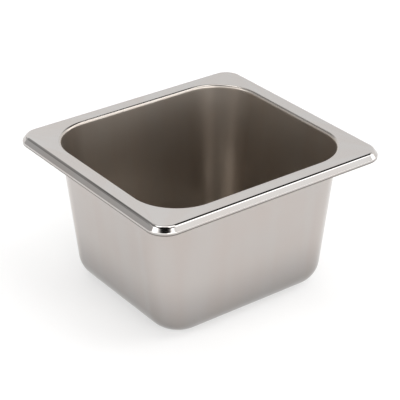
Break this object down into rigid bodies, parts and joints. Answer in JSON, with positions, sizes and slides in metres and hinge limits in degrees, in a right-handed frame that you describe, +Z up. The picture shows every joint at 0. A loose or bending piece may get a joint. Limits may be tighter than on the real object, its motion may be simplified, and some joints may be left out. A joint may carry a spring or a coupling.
{
  "type": "food pan",
  "caption": "Deep rectangular food pan drawn from sheet steel, with tapered walls, rounded corners, a wide flat flange and a folded lip to hang it in a counter or cold well.",
  "frame": {"origin": "centre of the flat base, on the surface the pan stands on", "axes": "+Z up towards the open top, +X along the longer side of the rim, +Y along the shorter side"},
  "size_m": [0.176, 0.163, 0.1],
  "materials": {
    "steel": "satin"
  },
  "bodies": {
    "root": {"pan": "steel"}
  },
  "joints": []
}
